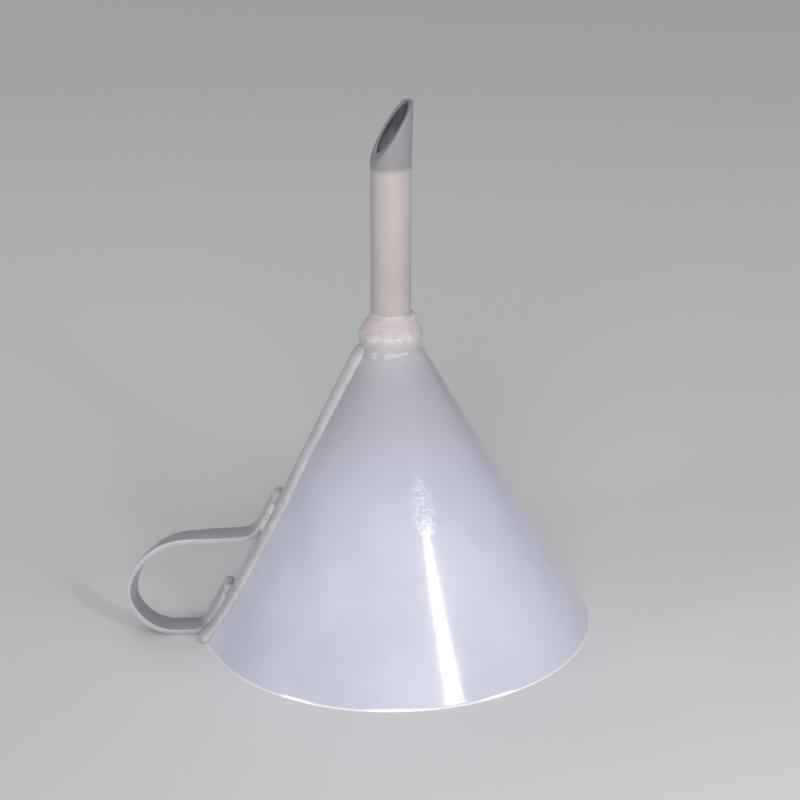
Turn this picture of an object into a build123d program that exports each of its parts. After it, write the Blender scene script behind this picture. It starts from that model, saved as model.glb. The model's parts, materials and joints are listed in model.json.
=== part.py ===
from build123d import *
import os
from math import atan2, cos, degrees, radians, sin, tan

# Welded polypropylene wide-mouth funnel, standing on its mouth with the stem up.
# Millimetres. +Z is the cone's axis; the origin is the centre of the mouth, on the rest plane.
# The handle stands out along -X and the rolled seam runs beside it, towards -Y.

# Cone, rolled from flat sheet
MOUTH_RADIUS = 125.0
CONE_ANGLE = 59.5             # included angle
SHEET = 2.0

# Stem, cut from standard 25 x 2.8 pipe and welded on slightly out of true
STEM_RADIUS = 12.5
STEM_WALL = 2.8
STEM_LEAN = 1.4               # degrees from the cone's axis, towards +X
STEM_HEEL_HEIGHT = 301.5      # low side of the oblique end, above the rest plane
STEM_TIP_HEIGHT = 339.5       # high side of the oblique end
STEM_CUT_TURN = 20.8          # degrees from +X towards +Y, the way that the cut rises
STEM_LIP = 0.9                # rounding where the cut end was softened
SCRAPED_DEPTH = 0.2           # the skin is scraped off the stem's foot before it is welded
SCRAPED_HEIGHT = 206.8        # top of the scraped stretch, just clear of the weld

# Liner, a smaller pipe pushed up inside the stem
LINER_WALL = 1.7
LINER_TOP_HEIGHT = 296.5

# Weld rolls round the neck, each a ring with a round section
LOWER_ROLL = (14.5, 193.8, 5.6)      # ring radius, height, section radius
UPPER_ROLL = (12.9, 202.3, 4.2)

# Weld bead over the cone's rolled seam
SEAM_AZIMUTH = 194.8
SEAM_WIDTH = 11.0
SEAM_HEIGHT = 3.9             # its crest stands this far out of the sheet
SEAM_BLOB_RADIUS = 5.6        # round end of the bead at the rim
SEAM_BLOB_HEIGHT = 3.6        # middle of that blob above the rest plane

# Handle strap, one bent strip whose tails lie on the cone
STRAP_WIDTH = 18.0
STRAP_THICKNESS = 3.0
STRAP_OFFSET = -9.2           # Y of the strap's middle at the rest plane
STRAP_SKEW = 0.1              # the middle moves this far along +Y for each unit of height
UPPER_TAIL = (71.5, 89.5)     # foot and cut end of each tail, where its side welds run
LOWER_TAIL = (8.0, 30.0)
LOOP_CORNERS = [(145.9, 61.4), (167.6, 45.3), (173.4, 31.0), (173.4, 23.4), (167.4, 12.1), (152.6, 1.6)]
LOOP_START_HEIGHT = 62.9      # where the upper tail's line meets the loop's top run
LOOP_END_HEIGHT = 1.6         # where the loop's bottom run meets the lower tail's line
LOOP_RADII = [15.0, 41.0, 38.0, 17.0, 15.0, 30.0, 30.0, 10.0]

# Fillet welds beside the tails, and melted beads over their ends
FILLET_LEG = 4.5
FILLET_STEP = 0.3             # the fillet starts this far below the strap's outer face
FILLET_BULGE = 0.68           # middle of its curve, as a share of both legs: 0.5 would be flat
END_BEAD_RADIUS = 2.8

SLOPE = tan(radians(CONE_ANGLE / 2))          # radius lost per unit of height
TILT = radians(CONE_ANGLE / 2)
APEX_HEIGHT = MOUTH_RADIUS / SLOPE
WALL_ACROSS = SHEET / cos(TILT)               # wall thickness measured level
NECK_HEIGHT = APEX_HEIGHT - STEM_RADIUS / SLOPE
STEM_FOOT_HEIGHT = APEX_HEIGHT - (STEM_RADIUS + WALL_ACROSS) / SLOPE
LINER_RADIUS = STEM_RADIUS - STEM_WALL
WELD_DEPTH = 2 * SHEET                        # welds are drawn this far into the cone, then trimmed
FAR = 400.0                                   # longer than the part, for cutting bodies


def turned(points):
    """A closed (radius, height) outline turned about Z."""
    outline = make_face(Plane.XZ * Polyline(*points, close=True))
    return revolve(outline, Axis.Z)


def cone_surface(height, level_offset=0.0):
    """Radius of the cone's outer face at a height, or of a face offset from it."""
    return MOUTH_RADIUS - height * SLOPE + level_offset


def solid_cone():
    """The cone filled in, which trims every piece that lies on it."""
    return turned([(0, 0), (MOUTH_RADIUS, 0), (0, APEX_HEIGHT)])


def stem_plane(height):
    """Level plane across the leaning stem, pivoting where cone and stem meet."""
    along = height - NECK_HEIGHT
    lean = radians(STEM_LEAN)
    centre = (along * sin(lean), 0, NECK_HEIGHT + along * cos(lean))
    return Plane(origin=centre, x_dir=(cos(lean), 0, -sin(lean)), z_dir=(sin(lean), 0, cos(lean)))


def stem_rod(radius, low, high):
    """A round rod on the stem's axis between two heights."""
    return extrude(stem_plane(low) * Circle(radius), high - low)


def oblique_end():
    """Everything above the slanted plane of the stem's cut end."""
    rise = degrees(atan2(STEM_TIP_HEIGHT - STEM_HEEL_HEIGHT, 2 * STEM_RADIUS))
    middle = stem_plane((STEM_HEEL_HEIGHT + STEM_TIP_HEIGHT) / 2)
    cut = middle * Rot(0, 0, STEM_CUT_TURN) * Rot(0, -rise, 0)
    return extrude(cut * Rectangle(FAR, FAR), FAR)


def stem_body():
    """The stem filled in, narrower where its foot was scraped."""
    foot = stem_rod(STEM_RADIUS - SCRAPED_DEPTH, STEM_FOOT_HEIGHT, SCRAPED_HEIGHT)
    return foot + stem_rod(STEM_RADIUS, SCRAPED_HEIGHT, FAR)


def make_cone():
    """Thin shell, open at the mouth and bored at the top for the stem."""
    top = NECK_HEIGHT
    shell = turned([
        (MOUTH_RADIUS - WALL_ACROSS, 0), (MOUTH_RADIUS, 0),
        (cone_surface(top), top), (cone_surface(top, -WALL_ACROSS), top),
    ])
    return shell - stem_rod(STEM_RADIUS - SCRAPED_DEPTH, 0, FAR)


def make_stem_tube():
    """Outer pipe with its oblique, softened end."""
    tube = stem_body() - stem_rod(LINER_RADIUS, 0, FAR)
    tube -= oblique_end()
    lip = tube.faces().sort_by(Axis.Z)[-1].edges()
    return fillet(lip, STEM_LIP)


def make_stem_liner():
    """Inner pipe, a push fit in the stem."""
    tube = stem_rod(LINER_RADIUS, STEM_FOOT_HEIGHT, LINER_TOP_HEIGHT)
    return tube - stem_rod(LINER_RADIUS - LINER_WALL, 0, FAR)


def ring(roll):
    """A weld roll laid round the neck."""
    radius, height, section = roll
    return Pos(0, 0, height) * Torus(radius, section)


def make_neck_welds():
    """Lower and upper rolls, each trimmed by what lies under it."""
    core = stem_rod(STEM_RADIUS - SCRAPED_DEPTH, 0, FAR)
    lower = ring(LOWER_ROLL) - solid_cone() - core
    upper = ring(UPPER_ROLL) - core - ring(LOWER_ROLL) - solid_cone()
    return lower, upper


def make_seam_bead():
    """Tall rounded bead along one straight line of the cone, with a round blob at the rim."""
    azimuth = radians(SEAM_AZIMUTH)
    foot = Vector(MOUTH_RADIUS * cos(azimuth), MOUTH_RADIUS * sin(azimuth), 0)
    along = (Vector(0, 0, APEX_HEIGHT) - foot).normalized()
    across = Vector(-sin(azimuth), cos(azimuth), 0)
    section = Ellipse(SEAM_WIDTH / 2, SEAM_HEIGHT)
    start = foot - along * SHEET
    bead = extrude(Plane(origin=start, x_dir=across, z_dir=along) * section, FAR)
    bead += Pos(*foot) * Pos(0, 0, SEAM_BLOB_HEIGHT) * Sphere(SEAM_BLOB_RADIUS)
    bead -= Pos(0, 0, -FAR / 2) * Box(FAR, FAR, FAR)
    bead -= Pos(0, 0, LOWER_ROLL[1] + FAR / 2) * Box(FAR, FAR, FAR)
    return bead - solid_cone() - ring(LOWER_ROLL)


def tail_point(height, lift=STRAP_THICKNESS / 2):
    """Point (outward, height) of a line that lies on the cone, lifted square off its face."""
    return (cone_surface(height - lift * sin(TILT)) + lift * cos(TILT), height)


def strap_slab():
    """The slanted slab that gives the strap its side edges."""
    skew = degrees(atan2(STRAP_SKEW, 1))
    slab = Box(2 * FAR, STRAP_WIDTH * cos(radians(skew)), 2 * FAR)
    return Pos(0, STRAP_OFFSET, 0) * Rot(-skew, 0, 0) * slab


def strap_blank():
    """The bent strip, cut to its side edges but not yet bedded on the cone."""
    corners = [
        tail_point(UPPER_TAIL[1]), tail_point(LOOP_START_HEIGHT), *LOOP_CORNERS,
        tail_point(LOOP_END_HEIGHT), tail_point(LOWER_TAIL[1]),
    ]
    middle = FilletPolyline(*[(-out, height) for out, height in corners], radius=LOOP_RADII)
    strip = make_face(Plane.XZ * offset(middle, STRAP_THICKNESS / 2, kind=Kind.INTERSECTION))
    return extrude(strip, FAR, both=True) & strap_slab()


def make_strap():
    """Handle strip bedded on the cone."""
    return strap_blank() - solid_cone()


def tail_frame(height, side):
    """Plane across a tail's edge: X points away from the strap, Y out of the cone."""
    out, level = tail_point(height, 0.0)
    across = STRAP_OFFSET + STRAP_SKEW * level + side * STRAP_WIDTH / 2
    along = Vector(sin(TILT), STRAP_SKEW * cos(TILT), cos(TILT)).normalized()
    lift = Vector(-cos(TILT), 0, sin(TILT))
    return Plane(origin=(-out, across, level), x_dir=lift.cross(along) * -side, z_dir=along)


def edge_fillet(low, high, side):
    """Convex fillet weld beside one tail, from the strap's edge down to the cone."""
    frame = tail_frame(low, side)
    length = (high - low) / cos(TILT)
    crown = STRAP_THICKNESS - FILLET_STEP
    bulge = (FILLET_BULGE * FILLET_LEG, FILLET_BULGE * crown)
    section = make_face(
        Polyline((FILLET_LEG, 0), (FILLET_LEG, -WELD_DEPTH), (-SHEET, -WELD_DEPTH), (-SHEET, crown),
                 (0, crown))
        + ThreePointArc((0, crown), bulge, (FILLET_LEG, 0))
    )
    return extrude(frame * section, length)


def end_bead(height):
    """Eight-sided bar of weld over a tail's cut end."""
    out, level = tail_point(height)
    middle = STRAP_OFFSET + STRAP_SKEW * level
    reach = (STRAP_WIDTH + FILLET_LEG) / 2
    bar = extrude(RegularPolygon(END_BEAD_RADIUS, 8), reach, both=True)
    turn = degrees(atan2(middle, out))
    return Pos(-out, middle, level) * Rot(0, 0, -turn) * Rot(90, 0, 0) * bar


def largest(shape):
    """The weld itself, without the sliver that cutting can leave under the strap."""
    return shape.solids().sort_by(SortBy.VOLUME)[-1]


def make_tail_welds(base, low, high):
    """Near and far fillets and the end bead of one tail, cut back to what they lie on."""
    bead = end_bead(high) - base
    near = edge_fillet(low, high - END_BEAD_RADIUS, -1) - base - bead
    far = edge_fillet(low, high - END_BEAD_RADIUS, 1) - base - bead
    return largest(near), largest(far), bead


def write(name, shape):
    """Write one node, which is one closed solid."""
    solid = shape.solid()
    print(name, round(solid.volume, 1), "mm3")
    export_step(solid, f"parts/{name}.step")


def main():
    os.makedirs("parts", exist_ok=True)
    lower_roll, upper_roll = make_neck_welds()
    strap = make_strap()
    seam = make_seam_bead()
    write("cone", make_cone())
    write("seam_weld_bead", seam)
    write("stem_tube", make_stem_tube())
    write("stem_liner", make_stem_liner())
    write("neck_weld_lower_bead", lower_roll)
    write("neck_weld_upper_bead", upper_roll)
    write("handle_strap", strap)
    base = solid_cone() + strap + seam
    for tail, (low, high) in {"upper": UPPER_TAIL, "lower": LOWER_TAIL}.items():
        near, far, bead = make_tail_welds(base, low, high)
        write(f"{tail}_tail_near_weld", near)
        write(f"{tail}_tail_far_weld", far)
        write(f"{tail}_tail_end_weld", bead)


main()
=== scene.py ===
import bpy
import json
from math import atan2, cos, exp, log, pi, radians, sin
from mathutils import Matrix, Vector, noise


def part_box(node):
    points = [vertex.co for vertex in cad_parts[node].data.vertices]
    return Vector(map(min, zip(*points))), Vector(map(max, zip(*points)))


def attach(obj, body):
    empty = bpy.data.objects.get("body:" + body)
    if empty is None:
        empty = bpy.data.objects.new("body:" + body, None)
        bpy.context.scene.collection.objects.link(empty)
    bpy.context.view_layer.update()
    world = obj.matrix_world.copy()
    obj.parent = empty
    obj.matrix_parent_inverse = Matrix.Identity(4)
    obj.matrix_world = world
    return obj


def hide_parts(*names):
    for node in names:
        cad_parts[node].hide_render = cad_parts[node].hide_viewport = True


# Looks of a welded polypropylene funnel that stands on its mouth. Metres, in the row frame:
# +Z is the cone's axis, the handle stands out along -X, and the camera looks from -Y.

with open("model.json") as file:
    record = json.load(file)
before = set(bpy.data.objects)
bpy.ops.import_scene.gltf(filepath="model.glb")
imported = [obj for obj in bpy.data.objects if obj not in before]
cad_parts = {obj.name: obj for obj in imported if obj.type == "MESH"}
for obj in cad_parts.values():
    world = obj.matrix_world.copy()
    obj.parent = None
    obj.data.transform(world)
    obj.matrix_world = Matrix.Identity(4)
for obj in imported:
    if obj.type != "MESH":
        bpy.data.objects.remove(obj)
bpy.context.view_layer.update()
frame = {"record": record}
mounts = {m["name"]: m for m in frame["record"]["mounts"]}

MM = 0.001
TURN = 2 * pi

# ---------------------------------------------------------------- sizes taken from the frame
MOUTH_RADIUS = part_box("cone")[1].x
NECK_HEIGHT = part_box("cone")[1].z
STEM_RADIUS = mounts["stem_outside"]["dims"]["r_mm"] * MM
BORE_RADIUS = mounts["stem_bore"]["dims"]["r_mm"] * MM
STEM_AXIS = Vector(mounts["stem_outside"]["axis"]).normalized()
STEM_POINT = Vector(mounts["stem_outside"]["pos_m"])
STEM_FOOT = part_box("stem_tube")[0].z
STEM_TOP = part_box("stem_tube")[1].z
LINER_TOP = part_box("stem_liner")[1].z
SLOPE = (MOUTH_RADIUS - STEM_RADIUS) / NECK_HEIGHT
TILT = atan2(SLOPE, 1)

# ---------------------------------------------------------------- sizes of the real sheet and strip
SHEET = 2.0 * MM
STEM_WALL = 2.8 * MM
HEEL_DROP = 39.3 * MM              # the oblique end's low side is this far below its tip
CUT_TURN = radians(20.8)           # the cut rises towards this azimuth
LIP = 0.9 * MM                     # how far the cut's edges are rounded down
FLARE = 0.8 * MM                   # the tip leans this far outwards
SWOLLEN = 0.5 * MM                 # the lip swells inwards by half of this at the tip, 2.5 of it at the heel
SWELL_DEPTH = 3.5 * MM             # the swelling dies away this far down the bore
CUT_OVERSHOOT = 3.0 * MM           # a sharp tip would rise this far above the stem's top
TIP_CEILING = 0.2 * MM             # but the cut levels off this far above it
TIP_ROUNDING = 0.45 * MM           # and this softly
BORE_FACING = -0.9                 # faces that look at the axis more squarely than this belong to the bore

CONE_EDGE = 0.35 * MM              # the sheet's cut edge is rounded from this height down
DENT = 1.1 * MM                    # the mouth is a little flat on the handle's side
DENT_AZIMUTH = radians(172)
DENT_REACH = radians(50)

# The seam weld wanders on its way up: (height in mm, azimuth in degrees), read off the photograph
SEAM_LINE = [(0, 192.2), (14, 194.4), (34, 196.4), (53, 196.9), (74, 197.2), (92, 197.0), (108, 195.6),
             (132, 194.0), (200, 193.2)]
SEAM_HALF_WIDTHS = (6.2 * MM, 7.0 * MM)     # at the rim and at the neck
SEAM_HEIGHTS = (2.6 * MM, 4.5 * MM)
PEAK_RIM = 4.2 * MM                         # the sheet's unrolled ends stand out this far at the rim
PEAK_HALF_WIDTH = 13.0 * MM
SEAM_TOP = 197.0 * MM
SEAM_SUNK = 1.2 * MM                        # the bead's foot is buried this deep in the sheet
SEAM_DIVE = (181 * MM, 14 * MM)             # it gets lower from here, over this height, at the neck
NUB_HEIGHT = 3.6 * MM                       # middle of the blob that ends it at the rim
NUB_SPREAD = 4.4 * MM
CROWN = 0.75                                # power of a sine that flattens the crown of a weld

STRAP_WIDTH = 18.0 * MM
STRAP_THICKNESS = 3.4 * MM
STRAP_CORNER = 0.6 * MM
STRAP_OFFSET = -9.2 * MM           # sideways place of the strap's middle at the rim's level
STRAP_SKEW = 0.1                   # and how far it moves sideways per unit of height
FLOOR_GAP = 0.05 * MM              # nothing but the rim reaches the floor


# ---------------------------------------------------------------- mesh helpers
def new_object(name, verts, faces, smooth=True):
    mesh = bpy.data.meshes.new(name)
    mesh.from_pydata([tuple(v) for v in verts], [], faces)
    mesh.validate()
    mesh.update()
    if smooth:
        mesh.shade_smooth()
    obj = bpy.data.objects.new(name, mesh)
    bpy.context.scene.collection.objects.link(obj)
    return obj


def lathe_faces(rows, count, loop_rows):
    """Quads between rings of count points; the last ring joins the first if loop_rows is true."""
    faces = []
    last = rows if loop_rows else rows - 1
    for i in range(last):
        k = (i + 1) % rows
        for j in range(count):
            n = (j + 1) % count
            faces.append((i * count + j, i * count + n, k * count + n, k * count + j))
    return faces


def ring_mesh(name, rings):
    """Closed body from rings of equal count, such as a pipe wall turned round an axis."""
    verts = [p for ring in rings for p in ring]
    return new_object(name, verts, lathe_faces(len(rings), len(rings[0]), True))


def bar_mesh(name, sections):
    """Closed bar through cross-sections of equal count, with a fan of faces over each end."""
    count = len(sections[0])
    verts = [p for s in sections for p in s]
    faces = lathe_faces(len(sections), count, False)
    for base, flip in ((0, True), ((len(sections) - 1) * count, False)):
        centre = sum((verts[base + j] for j in range(count)), Vector()) / count
        verts.append(centre)
        for j in range(count):
            edge = (base + j, base + (j + 1) % count, len(verts) - 1)
            faces.append(edge[::-1] if flip else edge)
    return new_object(name, verts, faces)


def lump(point, size, seed=0.0):
    """Smooth noise from -1 to 1 at a point, with features of the given size."""
    return noise.noise(point / size + Vector((seed, 2.3 * seed, 5.1 * seed)))


def ease(t):
    """Smooth step from 0 to 1."""
    t = min(1.0, max(0.0, t))
    return t * t * (3 - 2 * t)


def turn_apart(a, b):
    """Unsigned angle between two azimuths."""
    return abs((a - b + pi) % TURN - pi)


# ---------------------------------------------------------------- cone
def straight(line, at):
    """Value at a place along (place, value) pairs."""
    for (p, a), (q, b) in zip(line, line[1:]):
        if at <= q:
            return a + (b - a) * (at - p) / (q - p)
    return line[-1][1]


def smoothed(line, at, reach):
    """The same, with its corners rounded over this reach to both sides."""
    start, end = line[0][0], line[-1][0]
    places = [min(end, max(start, at + reach * k / 4)) for k in range(-4, 5)]
    return sum(straight(line, p) for p in places) / len(places)


def seam_azimuth(height):
    return radians(smoothed(SEAM_LINE, height / MM, 8.0))


def cone_radius(azimuth, height):
    """Outer face of the hand-rolled sheet, which is nearly round."""
    radius = MOUTH_RADIUS - height * SLOPE
    apart = turn_apart(azimuth, DENT_AZIMUTH)
    if apart < DENT_REACH:
        radius -= DENT * (radius / MOUTH_RADIUS) * (0.5 + 0.5 * cos(pi * apart / DENT_REACH))
    away = turn_apart(azimuth, seam_azimuth(height)) * radius / PEAK_HALF_WIDTH
    return radius + PEAK_RIM * (radius / MOUTH_RADIUS) ** 4 * exp(-away * away)


def cone_point(azimuth, height, lift=0.0):
    """Point on the cone's outer face, lifted square off it."""
    radius = cone_radius(azimuth, height) + lift * cos(TILT)
    return Vector((radius * cos(azimuth), radius * sin(azimuth), height + lift * sin(TILT)))


def build_cone():
    count, rows = 360, 110
    azimuths = [TURN * j / count for j in range(count)]
    sunk = Vector((0, 0, -SHEET * sin(TILT)))      # the inner face's rows are put level with the outer ones
    rings = []
    for i in range(rows + 1):
        height = CONE_EDGE + (NECK_HEIGHT - CONE_EDGE) * i / rows
        rings.append([cone_point(a, height) for a in azimuths])
    for i in range(rows, -1, -1):
        height = CONE_EDGE + (NECK_HEIGHT - CONE_EDGE) * i / rows
        rings.append([cone_point(a, height, -SHEET) - sunk for a in azimuths])
    for share in (0.92, 0.5, 0.08):
        rings.append([cone_point(a, 0, -SHEET * share) for a in azimuths])
    for ring in rings[-3:]:
        for p in ring:
            p.z = 0.0
    return ring_mesh("cone_sheet", rings)


# ---------------------------------------------------------------- seam bead
def above_floor(sections):
    """Trims what would stand lower than the rim."""
    for section in sections:
        for p in section:
            p.z = max(p.z, FLOOR_GAP)
    return sections


def bead_outline(wide, high, depth, arcs=18):
    """Flattened ridge over its foot, which is sunk this deep in the sheet."""
    foot = 0.9
    pts = [(wide * cos(pi * i / arcs), high * sin(pi * i / arcs) ** CROWN) for i in range(arcs + 1)]
    return pts + [(-foot * wide, -depth), (0.0, -depth), (foot * wide, -depth)]


def build_seam():
    """Tall bead of melted plastic, laid in short strokes, with a blob where it ends at the rim."""
    rows = 420
    sections = []
    for i in range(rows + 1):
        height = SEAM_TOP * (1 - i / rows)
        azimuth = seam_azimuth(height)
        centre = cone_point(azimuth, height)
        out = Vector((cos(azimuth) * cos(TILT), sin(azimuth) * cos(TILT), sin(TILT)))
        across = Vector((-sin(azimuth), cos(azimuth), 0))
        share = height / SEAM_TOP
        ripple = 0.16 * MM * sin(height / (1.25 * MM) + 2.0 * lump(centre, 7 * MM, 5.0))
        wide = SEAM_HALF_WIDTHS[0] + (SEAM_HALF_WIDTHS[1] - SEAM_HALF_WIDTHS[0]) * share
        high = SEAM_HEIGHTS[0] + (SEAM_HEIGHTS[1] - SEAM_HEIGHTS[0]) * share
        wide *= 1 + 0.06 * lump(centre, 8 * MM, 3.0)
        high = high * (1 + 0.07 * lump(centre, 11 * MM, 7.0)) + ripple * 0.5
        high *= 1 - 0.8 * ease((height - SEAM_DIVE[0]) / SEAM_DIVE[1])
        nub = exp(-((height - NUB_HEIGHT) / NUB_SPREAD) ** 2)
        wide += 0.7 * MM * nub
        high += 2.2 * MM * nub
        if height < NUB_HEIGHT:
            round_off = (1 - 0.75 * (1 - height / NUB_HEIGHT) ** 2) ** 0.5
            wide *= round_off
            high *= round_off
        radius = cone_radius(azimuth, height)
        section = []
        for x, y in bead_outline(wide, high, SEAM_SUNK):
            section.append(centre + across * x + out * (y - x * x / (2 * radius)))
        sections.append(section)
    return bar_mesh("seam_weld", above_floor(sections))


# ---------------------------------------------------------------- stem and liner
SIDE = Vector((STEM_AXIS.z, 0, -STEM_AXIS.x))
DEPTH = STEM_AXIS.cross(SIDE)


def stem_point(radius, azimuth, height):
    """Point round the leaning stem, whose tip flares; height is measured along +Z at the axis."""
    along = (height - STEM_POINT.z) / STEM_AXIS.z
    radius += FLARE * ease((height - LINER_TOP) / (STEM_TOP - LINER_TOP)) * (0.5 + 0.5 * cos(azimuth))
    centre = STEM_POINT + STEM_AXIS * along
    return centre + SIDE * (radius * cos(azimuth)) + DEPTH * (radius * sin(azimuth))


def cut_height(radius, azimuth):
    """Height of the oblique cut at a radius and azimuth; its tip is blunted softly."""
    middle = STEM_TOP + CUT_OVERSHOOT - HEEL_DROP / 2
    height = middle + (HEEL_DROP / 2) * (radius / STEM_RADIUS) * cos(azimuth - CUT_TURN)
    limit = STEM_TOP + TIP_CEILING
    return limit - TIP_ROUNDING * log(1 + exp((limit - height) / TIP_ROUNDING))


def swelling(azimuth):
    """How far the softened lip swells into the bore, most of all at the cut's low side."""
    return SWOLLEN * (1.5 - cos(azimuth - CUT_TURN))


def build_stem():
    count, rows = 128, 90
    azimuths = [TURN * j / count for j in range(count)]
    inner = STEM_RADIUS - STEM_WALL
    rings = []
    for i in range(rows + 1):
        share = i / rows
        rings.append([
            stem_point(STEM_RADIUS, a, STEM_FOOT + share * (cut_height(STEM_RADIUS, a) - LIP - STEM_FOOT))
            for a in azimuths
        ])
    steps = 8
    for i in range(1, steps):
        angle = pi * i / steps
        ring = []
        for a in azimuths:
            swollen = swelling(a)
            radius = (STEM_RADIUS + inner - swollen) / 2 + (STEM_WALL + swollen) / 2 * cos(angle)
            rough = 0.18 * MM * lump(stem_point(radius, a, STEM_TOP), 3 * MM, 11.0)
            height = cut_height(radius, a) - LIP * (1 - sin(angle) ** 0.7) + rough
            ring.append(stem_point(radius, a, height))
        rings.append(ring)
    for i in range(rows, -1, -1):
        ring = []
        for a in azimuths:
            deep = (1 - i / rows) * (cut_height(inner, a) - LIP - STEM_FOOT)
            radius = inner - swelling(a) * exp(-(deep / SWELL_DEPTH) ** 2)
            ring.append(stem_point(radius, a, cut_height(inner, a) - LIP - deep))
        rings.append(ring)
    return ring_mesh("stem_pipe", rings)


def build_liner():
    count = 96
    azimuths = [TURN * j / count for j in range(count)]
    outer = STEM_RADIUS - STEM_WALL - 0.1 * MM
    edge = 0.3 * MM
    profile = [(outer, STEM_FOOT), (outer, LINER_TOP - edge), (outer - edge, LINER_TOP),
               (BORE_RADIUS + edge, LINER_TOP), (BORE_RADIUS, LINER_TOP - edge), (BORE_RADIUS, STEM_FOOT)]
    rings = [[stem_point(r, a, h) for a in azimuths] for r, h in profile]
    return ring_mesh("liner_pipe", rings)


# ---------------------------------------------------------------- neck welds
# Outline of the lower collar as (height, radius) in mm, read off the photograph, from cone to stem
COLLAR = [(182.0, 20.7), (184.0, 19.9), (186.0, 19.1), (187.6, 18.9), (189.2, 19.2), (191.0, 19.7),
          (193.0, 20.0), (195.0, 19.8), (197.5, 18.9), (200.0, 17.6), (203.0, 15.7), (206.0, 13.6),
          (208.0, 12.4)]


def collar_radius(azimuth, height):
    """Melted collar; it is fuller towards the seam, and lumpy."""
    radius = smoothed(COLLAR, height / MM, 1.8) * MM
    full = 0.5 + 0.5 * cos(azimuth - radians(195))
    middle = exp(-((height - 189 * MM) / (7 * MM)) ** 2)
    radius += 0.5 * MM * full * full * middle
    spot = Vector((cos(azimuth) * radius, sin(azimuth) * radius, height))
    rough = 0.85 * MM * lump(spot, 8 * MM, 1.0) + 0.22 * MM * lump(spot, 3 * MM, 5.0)
    fade = ease((height - 185 * MM) / (7 * MM)) * (1 - ease((height - 204 * MM) / (4 * MM)))
    return radius + rough * fade


def build_collar():
    count, rows = 200, 56
    low, high = COLLAR[0][0] * MM, COLLAR[-1][0] * MM
    rings = []
    for i in range(rows + 1):
        height = low + (high - low) * i / rows
        azimuths = [TURN * j / count for j in range(count)]
        rings.append([stem_point(collar_radius(a, height), a, height) for a in azimuths])
    inside = STEM_RADIUS - 0.3 * MM
    skirt = COLLAR[0][1] * MM - 0.6 * MM
    for radius, height in ((inside, high), (inside, NECK_HEIGHT - 2 * MM), (skirt, low)):
        rings.append([stem_point(radius, TURN * j / count, height) for j in range(count)])
    return ring_mesh("neck_weld_low", rings)


def build_upper_roll():
    """A thinner second run over the collar's top edge; it swells on the far side from the seam."""
    count, around = 180, 26
    rings = []
    for i in range(around):
        angle = TURN * i / around
        ring = []
        for j in range(count):
            azimuth = TURN * j / count
            swell = 0.5 + 0.5 * cos(azimuth - radians(8))
            section = (1.2 + 1.6 * swell ** 4) * MM
            middle = (203.6 + 1.4 * swell ** 2) * MM
            radius = STEM_RADIUS + 0.4 * swell ** 4 * MM
            base = stem_point(radius + section * cos(angle), azimuth, middle + 1.2 * section * sin(angle))
            push = 0.34 * MM * lump(base, 5 * MM, 2.0) + 0.14 * MM * lump(base, 2 * MM, 6.0)
            out = (SIDE * cos(azimuth) + DEPTH * sin(azimuth)) * cos(angle) + STEM_AXIS * sin(angle)
            ring.append(base + out * push)
        rings.append(ring)
    return ring_mesh("neck_weld_high", rings)


# ---------------------------------------------------------------- strap
# The loop's corners as (outward, height) in mm, read off the photograph, from its upper end down
LOOP = [(145.9, 61.4), (167.6, 45.3), (171.9, 31.0), (171.9, 23.4), (167.4, 12.1), (152.6, 1.9)]
# Bend radii in mm at the upper tail's joint, at those corners and at the lower tail's joint
LOOP_RADII = [15.0, 41.0, 38.0, 17.0, 15.0, 30.0, 30.0, 10.0]
# Heights in mm for the upper and the lower tail
TAIL_FEET = (71.5, 8.0)
TAIL_TOPS = (89.5, 30.0)
TAIL_JOINTS = (62.9, 1.9)


def tail_corner(height):
    """(outward, height) of the strap's middle where it lies on the cone, in millimetres."""
    lift = STRAP_THICKNESS / MM / 2
    base = height - lift * sin(TILT)
    return (MOUTH_RADIUS / MM - base * SLOPE + lift * cos(TILT), height)


def rounded_path(corners, radii, step):
    """Points along straight runs joined by tangent arcs."""
    points = [Vector(corners[0])]
    for k, radius in enumerate(radii, start=1):
        a, b, c = Vector(corners[k - 1]), Vector(corners[k]), Vector(corners[k + 1])
        u, v = (a - b).normalized(), (c - b).normalized()
        half = u.angle(v) / 2
        reach = radius / (sin(half) / cos(half))
        middle = b + (u + v).normalized() * (radius / sin(half))
        start, end = b + u * reach, b + v * reach
        sweep = pi - 2 * half
        count = max(2, round(radius * sweep / step))
        p, q = start - middle, end - middle
        for i in range(count + 1):
            t = i / count
            points.append(middle + (p * sin((1 - t) * sweep) + q * sin(t * sweep)) / sin(sweep))
    points.append(Vector(corners[-1]))
    return points


def resampled(points, step):
    """The same line at even spacing."""
    out = [points[0].copy()]
    left = step
    for a, b in zip(points, points[1:]):
        length = (b - a).length
        while length >= left:
            a = a + (b - a) * (left / length)
            out.append(a.copy())
            length = (b - a).length
            left = step
        left -= length
    out.append(points[-1].copy())
    return out


def strap_line():
    """Middle line of the whole strap, from the upper tail's end to the lower one's."""
    corners = [tail_corner(TAIL_TOPS[0]), tail_corner(TAIL_JOINTS[0]), *LOOP,
               tail_corner(TAIL_JOINTS[1]), tail_corner(TAIL_TOPS[1])]
    flat = resampled(rounded_path(corners, LOOP_RADII, 1.0), 1.5)
    return [Vector((-p.x * MM, STRAP_OFFSET + STRAP_SKEW * p.y * MM, p.y * MM)) for p in flat]


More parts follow.
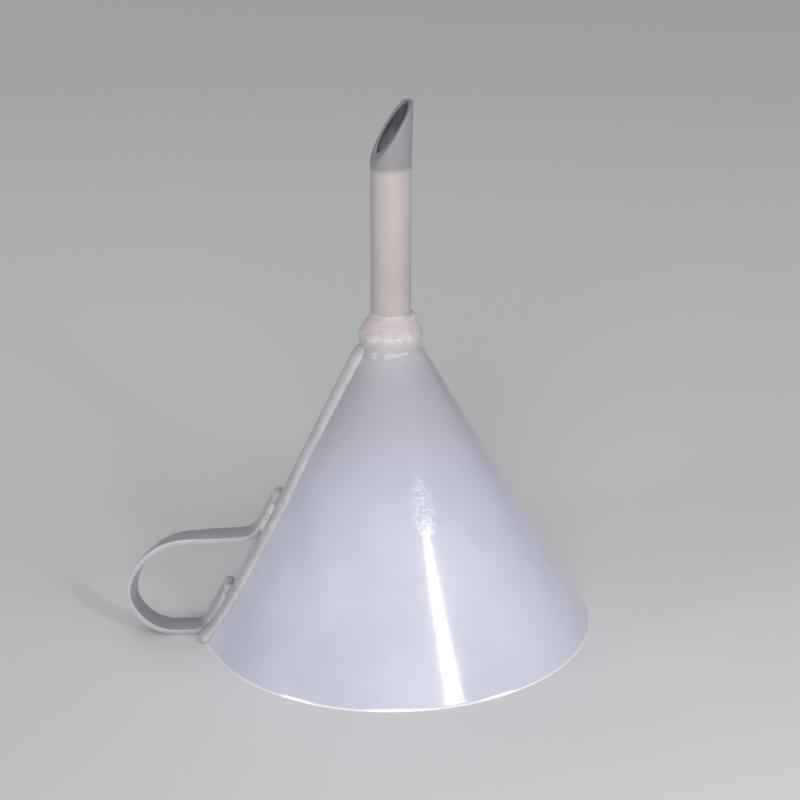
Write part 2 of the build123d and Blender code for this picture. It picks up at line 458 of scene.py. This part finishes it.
def width_direction(share, centre):
    """Direction across the strap; it twists a little round the loop and lies on the cone at the tails."""
    azimuth = atan2(centre.y, centre.x)
    tail = Vector((sin(azimuth), -cos(azimuth), 0))
    level = Vector((0, 1, 0))
    stations = [(0.0, tail), (0.14, tail), (0.24, level), (0.33, Vector((0, 18, -1))),
                (0.43, Vector((0.6, 18, -2.6))), (0.55, Vector((2.6, 17.3, -2))),
                (0.72, level), (0.85, level), (0.92, tail), (1.0, tail)]
    for (s, a), (e, b) in zip(stations, stations[1:]):
        if share <= e:
            return a.normalized().lerp(b.normalized(), ease((share - s) / (e - s))).normalized()
    return tail


def rounded_box(half_width, half_height, corner, steps=4):
    """Outline of a rectangle with round corners, as (x, y) pairs."""
    pts = []
    for sx, sy, start in ((1, 1, 0), (-1, 1, pi / 2), (-1, -1, pi), (1, -1, 1.5 * pi)):
        cx, cy = sx * (half_width - corner), sy * (half_height - corner)
        for i in range(steps + 1):
            a = start + pi / 2 * i / steps
            pts.append((cx + corner * cos(a), cy + corner * sin(a)))
    return pts


def strap_frames():
    """(place, direction across, direction square to the face) at every station of the strap."""
    line = strap_line()
    frames = []
    for i, p in enumerate(line):
        a, b = line[max(0, i - 1)], line[min(len(line) - 1, i + 1)]
        along = (b - a).normalized()
        wide = width_direction(i / (len(line) - 1), p)
        wide = (wide - along * wide.dot(along)).normalized()
        frames.append((p, wide, wide.cross(along)))
    return frames


def build_strap():
    outline = rounded_box(STRAP_WIDTH / 2, STRAP_THICKNESS / 2, STRAP_CORNER)
    sections = []
    for p, wide, face in strap_frames():
        sections.append([p + wide * x + face * y for x, y in outline])
    return bar_mesh("strap_strip", above_floor(sections))


# ---------------------------------------------------------------- welds on the strap's tails
def tail_edge(height, side, lift):
    """Point on a tail's side edge, this far above the strap's underside."""
    out, _ = tail_corner(height)
    middle = Vector((-out * MM, STRAP_OFFSET + STRAP_SKEW * height * MM, height * MM))
    azimuth = atan2(middle.y, middle.x)
    across = Vector((sin(azimuth), -cos(azimuth), 0))
    face = Vector((-cos(TILT), 0, sin(TILT)))
    return middle + across * (side * STRAP_WIDTH / 2) + face * (lift - STRAP_THICKNESS / 2)


def on_cone(point, lift):
    """Point of the cone's face square below this one, lifted off it."""
    azimuth = atan2(point.y, point.x)
    reach = (MOUTH_RADIUS - point.z * SLOPE - point.xy.length) * cos(TILT)
    height = point.z + reach * sin(TILT)
    return cone_point(azimuth, height, lift)


def build_side_weld(name, low, high, side, seed):
    """Melted fillet beside one tail, from the strap's edge down to the cone."""
    rows = 70
    sections = []
    for i in range(rows + 1):
        share = i / rows
        height = low + (high - low) * share
        taper = ease(min(share, 1 - share) * 9)
        top = tail_edge(height, side, STRAP_THICKNESS * (0.55 + 0.40 * taper))
        wander = lump(top, 5 * MM, seed)
        fine = lump(top, 1.7 * MM, seed + 3)
        leg = (1.4 + 3.6 * taper + 1.1 * wander * taper + 0.35 * fine) * MM
        away = Vector((0, side, 0))
        foot = on_cone(top + away * leg, 0.05 * MM)
        sunk = on_cone(top + away * leg, -0.9 * MM)
        under = on_cone(top - away * 1.2 * MM, -0.9 * MM)
        inner = top - away * 1.2 * MM
        middle = (top + foot) / 2
        out = (middle - on_cone(middle, 0)).normalized()
        bulge = (0.75 + 0.2 * fine + 0.3 * wander) * MM * (0.3 + 0.7 * taper)
        arc = []
        for k in range(1, 8):
            t = k / 8
            arc.append(top.lerp(foot, t) + out * (bulge * 4 * t * (1 - t)))
        sections.append([inner, top, *arc, foot, sunk, under])
    return bar_mesh(name, sections)


def build_end_weld(name, height, seed, peak):
    """Jagged bead melted over a tail's cut end and down on to the cone."""
    columns, arcs = 84, 12
    sections = []
    overhang = 2.2 * MM
    half = STRAP_WIDTH / 2 + overhang
    near = tail_edge(height, -1, STRAP_THICKNESS / 2)
    far = tail_edge(height, 1, STRAP_THICKNESS / 2)
    across = (far - near).normalized()
    middle = (near + far) / 2
    up = Vector((sin(TILT), 0, cos(TILT)))
    for i in range(columns + 1):
        share = i / columns
        base = middle + across * (half * (2 * share - 1))
        taper = ease(min(share, 1 - share) * 8)
        wander = lump(base, 4.2 * MM, seed)
        fine = lump(base, 1.5 * MM, seed + 2)
        reach = (0.6 + 1.4 * taper + 1.3 * wander + 0.8 * fine + peak * taper * (1 - share)) * MM
        back = (0.8 + 1.6 * taper + 0.5 * fine) * MM
        tall = (0.8 + 1.5 * taper + 0.55 * wander + 0.3 * fine) * MM
        ground = on_cone(base, 0)
        out = (base - ground).normalized()
        rise = (base - ground).length + tall
        section = []
        for k in range(arcs + 1):
            angle = pi * k / arcs
            run = reach if angle < pi / 2 else back
            section.append(ground + up * (run * cos(angle)) + out * (rise * sin(angle) ** CROWN - 0.3 * MM))
        section.append(ground - up * back * 0.8 - out * 0.9 * MM)
        section.append(ground + up * reach * 0.8 - out * 0.9 * MM)
        sections.append(section)
    return bar_mesh(name, sections)


# ---------------------------------------------------------------- materials
def node_tree(name):
    """A new material with its node tree and its principled shader."""
    mat = bpy.data.materials.new(name)
    mat.use_nodes = True
    tree = mat.node_tree
    shader = tree.nodes["Principled BSDF"]
    return mat, tree, shader


def link(tree, a, b):
    tree.links.new(a, b)


def noise_node(tree, coords, scale, detail=4.0, roughness=0.55):
    node = tree.nodes.new("ShaderNodeTexNoise")
    node.inputs["Scale"].default_value = scale
    node.inputs["Detail"].default_value = detail
    node.inputs["Roughness"].default_value = roughness
    link(tree, coords, node.inputs["Vector"])
    return node.outputs["Fac"]


def mapped(tree, value, low, high, to_low, to_high):
    """Value moved smoothly from one range to another, and held at its ends."""
    node = tree.nodes.new("ShaderNodeMapRange")
    node.interpolation_type = "SMOOTHSTEP"
    for key, number in (("From Min", low), ("From Max", high), ("To Min", to_low), ("To Max", to_high)):
        node.inputs[key].default_value = number
    link(tree, value, node.inputs["Value"])
    return node.outputs["Result"]


def mixed(tree, factor, a, b):
    node = tree.nodes.new("ShaderNodeMix")
    node.data_type = "RGBA"
    link(tree, factor, node.inputs["Factor"])
    for socket, value in ((node.inputs["A"], a), (node.inputs["B"], b)):
        if isinstance(value, tuple):
            socket.default_value = (*value, 1)
        else:
            link(tree, value, socket)
    return node.outputs["Result"]


def maths(tree, operation, a, b):
    node = tree.nodes.new("ShaderNodeMath")
    node.operation = operation
    for socket, value in zip(node.inputs, (a, b)):
        if isinstance(value, (int, float)):
            socket.default_value = value
        else:
            link(tree, value, socket)
    return node.outputs["Value"]


def object_coords(tree):
    return tree.nodes.new("ShaderNodeTexCoord").outputs["Object"]


def height_of(tree, coords):
    """Height in metres; the pieces' own frame is the row frame."""
    node = tree.nodes.new("ShaderNodeSeparateXYZ")
    link(tree, coords, node.inputs["Vector"])
    return node.outputs["Z"]


def stretched(tree, coords, scale):
    node = tree.nodes.new("ShaderNodeMapping")
    node.inputs["Scale"].default_value = scale
    link(tree, coords, node.inputs["Vector"])
    return node.outputs["Vector"]


def bumped(tree, shader, layers):
    """Chains (height, distance, strength) bumps into the shader's normal."""
    normal = None
    for height, distance, strength in layers:
        bump = tree.nodes.new("ShaderNodeBump")
        bump.inputs["Distance"].default_value = distance
        bump.inputs["Strength"].default_value = strength
        link(tree, height, bump.inputs["Height"])
        if normal is not None:
            link(tree, normal, bump.inputs["Normal"])
        normal = bump.outputs["Normal"]
    link(tree, normal, shader.inputs["Normal"])


def translucent(shader, weight, depth, gloss):
    """The constants of natural polypropylene, which are the same all over."""
    shader.inputs["Subsurface Weight"].default_value = weight
    shader.inputs["Subsurface Radius"].default_value = (1.0, 0.95, 0.95)
    shader.inputs["Subsurface Scale"].default_value = depth
    shader.inputs["IOR"].default_value = 1.49
    shader.inputs["Specular IOR Level"].default_value = gloss
    shader.inputs["Sheen Weight"].default_value = 0.12
    shader.inputs["Sheen Roughness"].default_value = 0.25


def scuffed_strip(tree, coords, height):
    """Mask of the rubbed patch on the cone's front, right of its middle; a faint strip goes on above it."""
    split = tree.nodes.new("ShaderNodeSeparateXYZ")
    link(tree, coords, split.inputs["Vector"])
    ratio = maths(tree, "DIVIDE", split.outputs["X"], maths(tree, "MULTIPLY", split.outputs["Y"], -1.0))
    off = maths(tree, "ABSOLUTE", maths(tree, "SUBTRACT", ratio, 0.27), 0.0)
    band = maths(tree, "MULTIPLY", mapped(tree, off, 0.05, 0.19, 1.0, 0.0),
                 mapped(tree, split.outputs["Y"], -0.012, -0.008, 1.0, 0.0))
    rows = maths(tree, "MULTIPLY", mapped(tree, height, 0.086, 0.100, 0.0, 1.0),
                 mapped(tree, height, 0.106, 0.124, 1.0, 0.12))
    return maths(tree, "MULTIPLY", band, rows)


def sheet_look():
    """Glossy sheet: clouded, with painted shade that darkens it upwards, pink by the neck, with a painted
    highlight along its cut edge, scuffed, specked.
    """
    mat, tree, shader = node_tree("natural_sheet")
    coords = object_coords(tree)
    height = height_of(tree, coords)
    cloud = noise_node(tree, coords, 16.0, 3.0)
    base = mixed(tree, mapped(tree, cloud, 0.35, 0.65, 0.0, 1.0), (0.50, 0.503, 0.60), (0.545, 0.548, 0.642))
    # Painted shade: the cone's colour darkens upwards, standing in for the light that reaches its lower part
    # more.
    low = mapped(tree, height, 0.065, 0.175, 1.0, 0.0)
    base = mixed(tree, low, (0.36, 0.358, 0.405), base)
    warm = mapped(tree, height, 0.166, 0.188, 0.0, 1.0)
    patch = mapped(tree, noise_node(tree, coords, 60.0), 0.35, 0.6, 0.55, 1.0)
    base = mixed(tree, maths(tree, "MULTIPLY", warm, patch), base, (0.45, 0.415, 0.435))
    # Painted highlight: a pale band along the rim's cut edge stands in for the light line the edge catches.
    base = mixed(tree, mapped(tree, height, 0.0005, 0.0011, 1.0, 0.0), base, (0.80, 0.80, 0.83))
    grain = noise_node(tree, coords, 210.0, 2.0)
    speck = mapped(tree, grain, 0.795, 0.83, 0.0, 1.0)
    base = mixed(tree, speck, base, (0.12, 0.10, 0.10))
    link(tree, base, shader.inputs["Base Color"])
    scuffed = maths(tree, "MULTIPLY", scuffed_strip(tree, coords, height),
                    mapped(tree, noise_node(tree, coords, 150.0, 5.0, 0.65), 0.42, 0.60, 0.0, 1.0))
    lines = noise_node(tree, stretched(tree, coords, (900.0, 900.0, 60.0)), 1.0, 1.0)
    scratch = mapped(tree, lines, 0.66, 0.74, 0.0, 1.0)
    clean = mapped(tree, cloud, 0.3, 0.7, 0.10, 0.15)
    rough = maths(tree, "ADD", clean, maths(tree, "MULTIPLY", scuffed, 0.16))
    link(tree, maths(tree, "ADD", rough, maths(tree, "MULTIPLY", scratch, 0.10)), shader.inputs["Roughness"])
    wave = noise_node(tree, coords, 26.0, 2.0)
    bumped(tree, shader, [(wave, 0.0006, 0.35), (scuffed, 0.00035, 0.55), (scratch, 0.00008, 0.25)])
    translucent(shader, 0.35, 0.004, 0.85)
    return mat


def pipe_look():
    """Stem: warm where the liner backs it, grey and clearer above, with drawn lines along it."""
    mat, tree, shader = node_tree("natural_pipe")
    coords = object_coords(tree)
    height = height_of(tree, coords)
    patches = noise_node(tree, stretched(tree, coords, (1.0, 1.0, 0.3)), 60.0)
    cloud = mapped(tree, patches, 0.35, 0.65, 0.0, 1.0)
    warm = mixed(tree, cloud, (0.365, 0.322, 0.317), (0.40, 0.362, 0.355))
    cold = mixed(tree, cloud, (0.24, 0.231, 0.252), (0.28, 0.268, 0.288))
    uneven = maths(tree, "ADD", height, maths(tree, "MULTIPLY", noise_node(tree, coords, 120.0), 0.0012))
    clear = mapped(tree, uneven, LINER_TOP - 0.0018, LINER_TOP + 0.0032, 0.0, 1.0)
    link(tree, mixed(tree, clear, warm, cold), shader.inputs["Base Color"])
    link(tree, mapped(tree, clear, 0.0, 1.0, 1.0, 0.86), shader.inputs["Alpha"])
    drawn = noise_node(tree, stretched(tree, coords, (420.0, 420.0, 9.0)), 1.0, 2.0)
    link(tree, mapped(tree, drawn, 0.3, 0.7, 0.34, 0.44), shader.inputs["Roughness"])
    bumped(tree, shader, [(drawn, 0.00006, 0.4), (cloud, 0.0002, 0.2)])
    translucent(shader, 0.30, 0.003, 0.4)
    shader.inputs["Sheen Weight"].default_value = 0.4
    shader.inputs["Sheen Roughness"].default_value = 0.12
    return mat


def bore_look():
    """Inside of the stem's open end, painted dark as the shade inside the tube, darkest by the tip, as the
    photograph shows it.
    """
    mat, tree, shader = node_tree("pipe_inside_painted_shade")
    coords = object_coords(tree)
    streak = noise_node(tree, stretched(tree, coords, (260.0, 260.0, 20.0)), 1.0, 2.0)
    deep = mixed(tree, mapped(tree, streak, 0.35, 0.65, 0.0, 1.0), (0.29, 0.275, 0.32), (0.36, 0.34, 0.39))
    up = mapped(tree, height_of(tree, coords), STEM_TOP - 0.036, STEM_TOP - 0.014, 0.0, 1.0)
    # Painted shade: the bore is coloured dark, nearly black by the tip, for the shade inside the tube.
    link(tree, mixed(tree, up, deep, (0.058, 0.056, 0.068)), shader.inputs["Base Color"])
    link(tree, mapped(tree, streak, 0.3, 0.7, 0.40, 0.50), shader.inputs["Roughness"])
    translucent(shader, 0.0, 0.002, 0.25)
    return mat


def plastic(name, light, dark, scale, roughness, ripple, gloss=0.6):
    """Melted or bent plastic with clouding, finer for a larger scale, and a soft ripple in its skin."""
    mat, tree, shader = node_tree(name)
    coords = object_coords(tree)
    cloud = noise_node(tree, coords, scale)
    fine = noise_node(tree, coords, scale * 4.5, 3.0)
    base = mixed(tree, mapped(tree, cloud, 0.38, 0.62, 0.0, 1.0), dark, light)
    link(tree, base, shader.inputs["Base Color"])
    link(tree, mapped(tree, fine, 0.3, 0.7, *roughness), shader.inputs["Roughness"])
    bumped(tree, shader, [(cloud, 0.0008, ripple), (fine, 0.0002, ripple)])
    translucent(shader, 0.3, 0.004, gloss)
    return mat


def neck_look():
    """Pinkish melted plastic that runs out at its lower edge into the sheet's grey there, which is darkened
    by painted shade.
    """
    mat = plastic("neck_bead", (0.50, 0.446, 0.450), (0.465, 0.420, 0.424), 75.0, (0.22, 0.42), 0.45,
                  gloss=0.45)
    tree = mat.node_tree
    shader = tree.nodes["Principled BSDF"]
    melted = shader.inputs["Base Color"].links[0].from_socket
    # Painted shade: the collar's lower edge darkens to the sheet's shade-darkened grey at the neck.
    low = mapped(tree, height_of(tree, object_coords(tree)), 0.184, 0.198, 1.0, 0.0)
    link(tree, mixed(tree, low, melted, (0.37, 0.352, 0.38)), shader.inputs["Base Color"])
    return mat


# ---------------------------------------------------------------- assembly
# plastic() takes: name, light and dark colour, scale of the noise, range of roughness, strength of ripple
SHEET_LOOK = sheet_look()
PIPE_LOOK = pipe_look()
BORE_SHADE_LOOK = bore_look()
LINER_LOOK = plastic("warm_liner", (0.56, 0.50, 0.48), (0.50, 0.45, 0.43), 60.0, (0.25, 0.35), 0.15)
STRAP_LOOK = plastic("bent_strip", (0.385, 0.37, 0.40), (0.355, 0.34, 0.37), 40.0, (0.28, 0.34), 0.03)
BEAD_LOOK = plastic("seam_bead", (0.44, 0.415, 0.435), (0.395, 0.37, 0.39), 110.0, (0.36, 0.46), 0.30,
                    gloss=0.35)
NECK_LOOK = neck_look()
TAIL_LOOK = plastic("tail_bead", (0.54, 0.52, 0.54), (0.46, 0.445, 0.46), 200.0, (0.24, 0.38), 0.18)


def place(obj, material, slot, *nodes):
    """Gives a piece its look and puts it in the CAD nodes' stead; the slot argument is not used."""
    obj.data.materials.append(material)
    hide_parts(*nodes)
    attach(obj, "root")
    return obj


place(build_cone(), SHEET_LOOK, "sheet", "cone")
place(build_seam(), BEAD_LOOK, "weld", "seam_weld_bead")
stem = place(build_stem(), PIPE_LOOK, "pipe", "stem_tube")
stem.data.materials.append(BORE_SHADE_LOOK)
for polygon in stem.data.polygons:
    middle = polygon.center - STEM_POINT
    from_axis = (middle - STEM_AXIS * middle.dot(STEM_AXIS)).normalized()
    if polygon.normal.dot(from_axis) < BORE_FACING:
        polygon.material_index = 1
place(build_liner(), LINER_LOOK, "liner", "stem_liner")
place(build_collar(), NECK_LOOK, "weld", "neck_weld_lower_bead")
place(build_upper_roll(), NECK_LOOK, "weld", "neck_weld_upper_bead")
place(build_strap(), STRAP_LOOK, "strap", "handle_strap")
for tail, foot, top, seed, peak in (("upper", TAIL_FEET[0], TAIL_TOPS[0], 20.0, 2.0),
                                    ("lower", TAIL_FEET[1], TAIL_TOPS[1], 30.0, 2.6)):
    for edge, side in (("near", -1), ("far", 1)):
        weld = build_side_weld(f"{tail}_{edge}_side_weld", foot - 2, top - 1, side, seed + side)
        place(weld, TAIL_LOOK, "weld", f"{tail}_tail_{edge}_weld")
    place(build_end_weld(f"{tail}_cap_weld", top, seed + 5, peak), TAIL_LOOK, "weld", f"{tail}_tail_end_weld")


# ---------------------------------------------------------------- floor, light and camera
def build_floor():
    mat, _, shader = node_tree("floor_look")
    shader.inputs["Base Color"].default_value = (0.78, 0.78, 0.785, 1)
    shader.inputs["Roughness"].default_value = 0.6
    half = 12.0
    corners = [(-half, -half, 0), (half, -half, 0), (half, half, 0), (-half, half, 0)]
    floor = new_object("studio_floor", corners, [(0, 1, 2, 3)], smooth=False)
    floor.data.materials.append(mat)


def area_light(name, place_at, look_at, size, power, roll=0.0):
    data = bpy.data.lights.new(name, "AREA")
    data.shape = "RECTANGLE"
    data.size, data.size_y = size
    data.energy = power
    lamp = bpy.data.objects.new(name, data)
    bpy.context.scene.collection.objects.link(lamp)
    direction = (Vector(look_at) - Vector(place_at)).normalized()
    turn = direction.to_track_quat("-Z", "Y").to_matrix().to_4x4()
    lamp.matrix_world = Matrix.Translation(place_at) @ turn @ Matrix.Rotation(roll, 4, "Z")


def soft_sun(name, towards, strength, spread):
    """Even light from a far soft box; it reaches floor and funnel alike, so the floor stays plain."""
    data = bpy.data.lights.new(name, "SUN")
    data.energy = strength
    data.angle = radians(spread)
    lamp = bpy.data.objects.new(name, data)
    bpy.context.scene.collection.objects.link(lamp)
    lamp.matrix_world = (-Vector(towards)).to_track_quat("-Z", "Y").to_matrix().to_4x4()


# The photograph's viewpoint in metres, fitted to the outlines of cone and stem; the lens is in mm
CAMERA_ELEVATION = radians(26.27)
CAMERA_DISTANCE = 1.074
CAMERA_AIM = Vector((0.0046, 0, 0.1502))
CAMERA_ROLL = radians(-1.356)
CAMERA_LENS = 72.9


def build_camera():
    data = bpy.data.cameras.new("studio_camera")
    data.lens = CAMERA_LENS
    data.sensor_width = 36.0
    data.clip_end = 60
    camera = bpy.data.objects.new("studio_camera", data)
    bpy.context.scene.collection.objects.link(camera)
    spot = Vector((0, -cos(CAMERA_ELEVATION), sin(CAMERA_ELEVATION))) * CAMERA_DISTANCE
    ahead = (CAMERA_AIM - spot).normalized()
    right = ahead.cross(Vector((0, 0, 1))).normalized()
    up = right.cross(ahead)
    across = right * cos(CAMERA_ROLL) + up * sin(CAMERA_ROLL)
    above = up * cos(CAMERA_ROLL) - right * sin(CAMERA_ROLL)
    camera.matrix_world = Matrix.Translation(spot) @ Matrix((across, above, -ahead)).transposed().to_4x4()
    bpy.context.scene.camera = camera


build_floor()
build_camera()

# Narrow key lights that hang in a fan from one point; from the main view the cone mirrors them as a wedge
KEY_DIRECTION = Vector((0.453, -0.730, 0.510)).normalized()
KEY_FOOT = Vector((0.034, -0.120, 0.0))
KEY_UP = (Vector((0, 0, 1)) - KEY_DIRECTION * KEY_DIRECTION.z).normalized()
KEY_SIZE = (0.026, 0.28)
KEY_DISTANCE = 0.8
KEY_RISE = 0.155
KEY_POWER = 0.36
KEY_TOP = KEY_FOOT + KEY_DIRECTION * KEY_DISTANCE + KEY_UP * KEY_RISE
for name, roll in (("key_strip_a", -14), ("key_strip_b", -7), ("key_strip_c", 0), ("key_strip_d", 7),
                   ("key_strip_e", 14)):
    hang = Matrix.Rotation(radians(roll), 3, KEY_DIRECTION) @ -KEY_UP
    middle = KEY_TOP + hang * (KEY_SIZE[1] / 2)
    area_light(name, middle, middle - KEY_DIRECTION, KEY_SIZE, KEY_POWER, radians(roll))
soft_sun("front_fill", (-0.14, -2.1, 0.38), 1.88, 30)
soft_sun("left_fill", (-2.0, -1.22, 0.28), 0.78, 20)
soft_sun("right_fill", (2.0, -1.40, 0.28), 0.88, 20)
soft_sun("back_fill", (-0.8, 1.6, 2.0), 0.25, 40)
area_light("floor_box", (0.0, 0.3, 2.4), (0, 0, 0), (2.4, 2.4), 9.0)

world = bpy.data.worlds.new("studio")
world.use_nodes = True
world.node_tree.nodes["Background"].inputs["Color"].default_value = (0.8, 0.82, 0.86, 1)
world.node_tree.nodes["Background"].inputs["Strength"].default_value = 0.26
bpy.context.scene.world = world
bpy.context.scene.view_settings.view_transform = "Standard"
